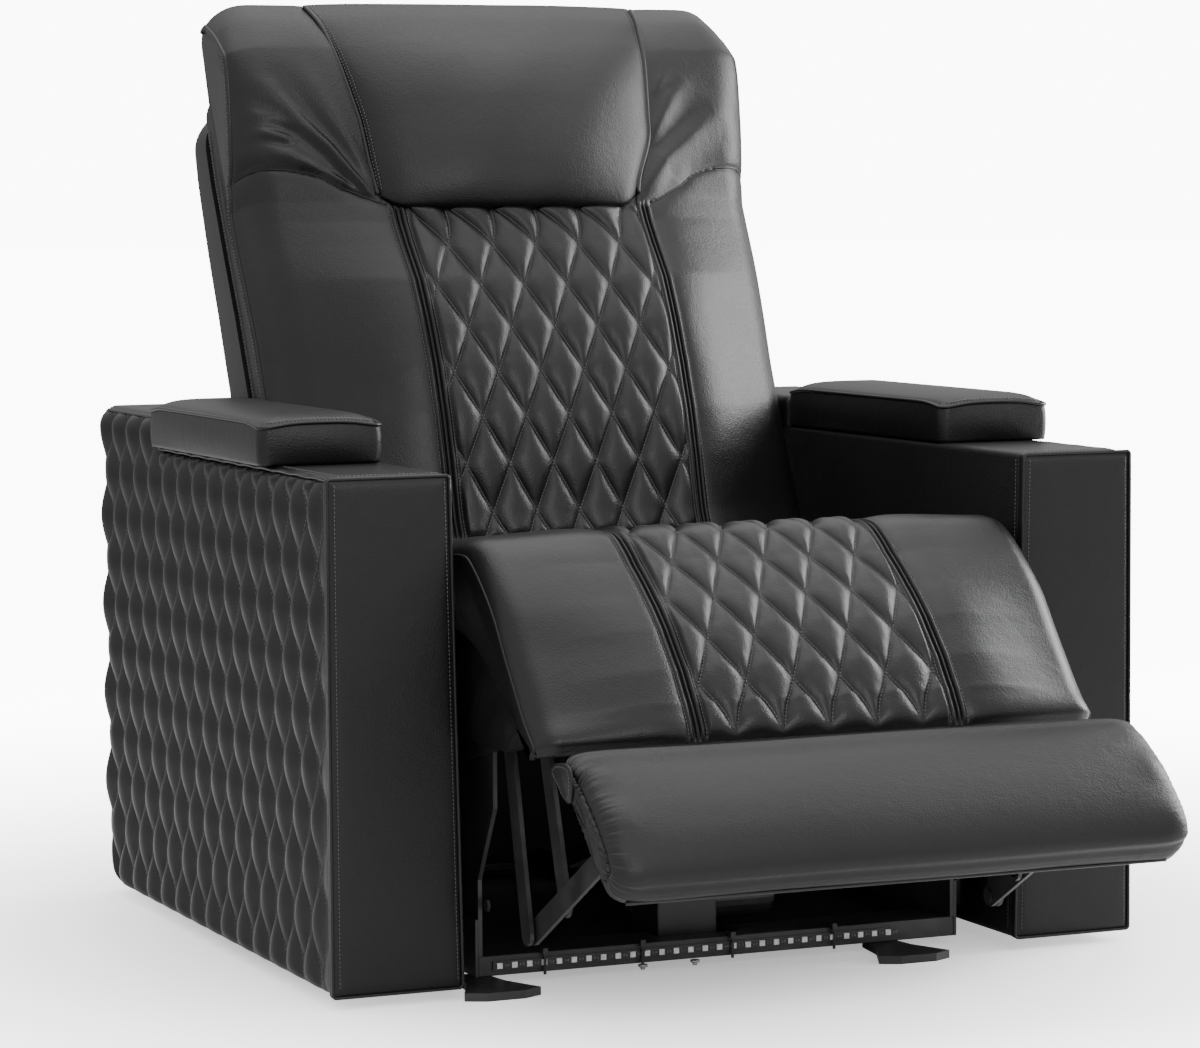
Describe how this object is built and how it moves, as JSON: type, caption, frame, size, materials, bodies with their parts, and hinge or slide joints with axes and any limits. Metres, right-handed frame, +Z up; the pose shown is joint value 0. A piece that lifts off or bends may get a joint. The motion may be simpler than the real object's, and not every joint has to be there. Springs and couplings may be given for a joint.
{
  "type": "power recliner",
  "caption": "Power recliner armchair with a quilted leather back, seat and outer arms, lidded storage arms, a head pillow and a linked footrest.",
  "frame": {"origin": "on the floor, under the middle of the chair's whole box as it stands in the picture", "axes": "-Y is the way the chair faces, +Z up, +X to the sitter's left"},
  "size_m": [0.928, 1.2504, 1.0395],
  "materials": {
    "leather": "satin, fine grain",
    "steel": "satin black paint",
    "wood": "bare plywood",
    "plastic": "moulded",
    "bright": "turned",
    "lining": "woven lining",
    "strip": "flexible strip",
    "button": "satin"
  },
  "bodies": {
    "base": {"front_rail": "steel", "rear_rail": "steel", "right_side_rail": "steel", "left_side_rail": "steel", "right_base_plate": "steel", "left_base_plate": "steel", "right_front_glide": "plastic", "left_front_glide": "plastic", "right_rear_glide": "plastic", "left_rear_glide": "plastic", "right_arm_body": "leather", "left_arm_body": "leather", "right_quilted_pad": "leather", "left_quilted_pad": "leather", "right_storage_bin": "plastic", "left_storage_bin": "plastic", "right_hinge_leaf": "steel", "left_hinge_leaf": "steel", "light_strip": "strip", "power_inlet": "plastic", "control_plate": "plastic", "dust_cover": "lining"},
    "seat": {"seat_cushion": "leather", "right_seat_board": "leather", "left_seat_board": "leather", "right_seat_plate": "steel", "left_seat_plate": "steel", "seat_front_board": "wood", "seat_deck": "lining", "seat_rear_board": "wood", "motor_tube": "steel", "motor_gearbox": "plastic", "motor": "steel", "actuator_channel": "steel", "lead_screw": "bright"},
    "back": {"back_cushion": "leather", "head_pillow": "leather", "back_frame": "leather", "back_rear_panel": "leather", "right_back_bracket": "steel", "left_back_bracket": "steel"},
    "footrest_drive": {"torque_tube": "steel", "right_drive_link": "steel", "left_drive_link": "steel"},
    "footrest_lift": {"right_lift_link": "steel", "left_lift_link": "steel"},
    "footrest_stay": {"right_stay_link": "steel", "left_stay_link": "steel"},
    "footrest": {"footrest_pad": "leather", "footrest_board": "wood", "right_footrest_bracket": "steel", "left_footrest_bracket": "steel"},
    "actuator_carriage": {"drive_nut": "plastic", "push_link": "steel"},
    "right_lid": {"right_lid_pad": "leather", "right_lid_panel": "lining"},
    "left_lid": {"left_lid_pad": "leather", "left_lid_panel": "lining"},
    "recline_key": {"recline_button": "button"},
    "return_key": {"return_button": "button"}
  },
  "joints": [
    {"name": "seat_glide", "type": "slide", "parent": "base", "child": "seat", "axis": [0, -1, 0], "range_m": [-0.01, 0.031]},
    {"name": "back_recline", "type": "hinge", "parent": "seat", "child": "back", "pos_m": [0, 0.25111, 0.3], "axis": [-1, 0, 0], "range_deg": [-10, 32]},
    {"name": "footrest_drive", "type": "hinge", "parent": "seat", "child": "footrest_drive", "pos_m": [0, -0.24889, 0.275], "axis": [-1, 0, 0], "range_deg": [-46, 46]},
    {"name": "footrest_lift", "type": "hinge", "parent": "footrest_drive", "child": "footrest_lift", "pos_m": [0, -0.29689, 0.072], "axis": [-1, 0, 0], "range_deg": [-35.5, 35.5]},
    {"name": "footrest_tilt", "type": "hinge", "parent": "footrest_lift", "child": "footrest", "pos_m": [0, -0.51689, 0.199], "axis": [-1, 0, 0], "range_deg": [-33.5, 33.5]},
    {"name": "footrest_stay", "type": "hinge", "parent": "seat", "child": "footrest_stay", "pos_m": [0, -0.30029, 0.3016], "axis": [-1, 0, 0], "range_deg": [-47.5, 47.5]},
    {"name": "actuator_travel", "type": "slide", "parent": "seat", "child": "actuator_carriage", "axis": [0, -1, 0], "range_m": [-0.073, 0.073]},
    {"name": "right_lid", "type": "hinge", "parent": "base", "child": "right_lid", "pos_m": [-0.4615, 0.13711, 0.5388], "axis": [0, -1, 0], "range_deg": [0, 95]},
    {"name": "left_lid", "type": "hinge", "parent": "base", "child": "left_lid", "pos_m": [0.4615, 0.13711, 0.5388], "axis": [0, 1, 0], "range_deg": [0, 95]},
    {"name": "recline_button", "type": "slide", "parent": "base", "child": "recline_key", "axis": [-1, 0, 0], "range_m": [0, 0.0025], "stiffness_N_per_m": 300},
    {"name": "return_button", "type": "slide", "parent": "base", "child": "return_key", "axis": [-1, 0, 0], "range_m": [0, 0.0025], "stiffness_N_per_m": 300}
  ],
  "couplings": [
    {"joint": "seat_glide", "follows": "back_recline", "m_per_rad": 0.05},
    {"joint": "footrest_lift", "follows": "footrest_drive", "ratio": -0.76},
    {"joint": "footrest_tilt", "follows": "footrest_drive", "ratio": 0.72},
    {"joint": "footrest_stay", "follows": "footrest_drive", "ratio": 1.014},
    {"joint": "actuator_travel", "follows": "footrest_drive", "m_per_rad": 0.09}
  ]
}
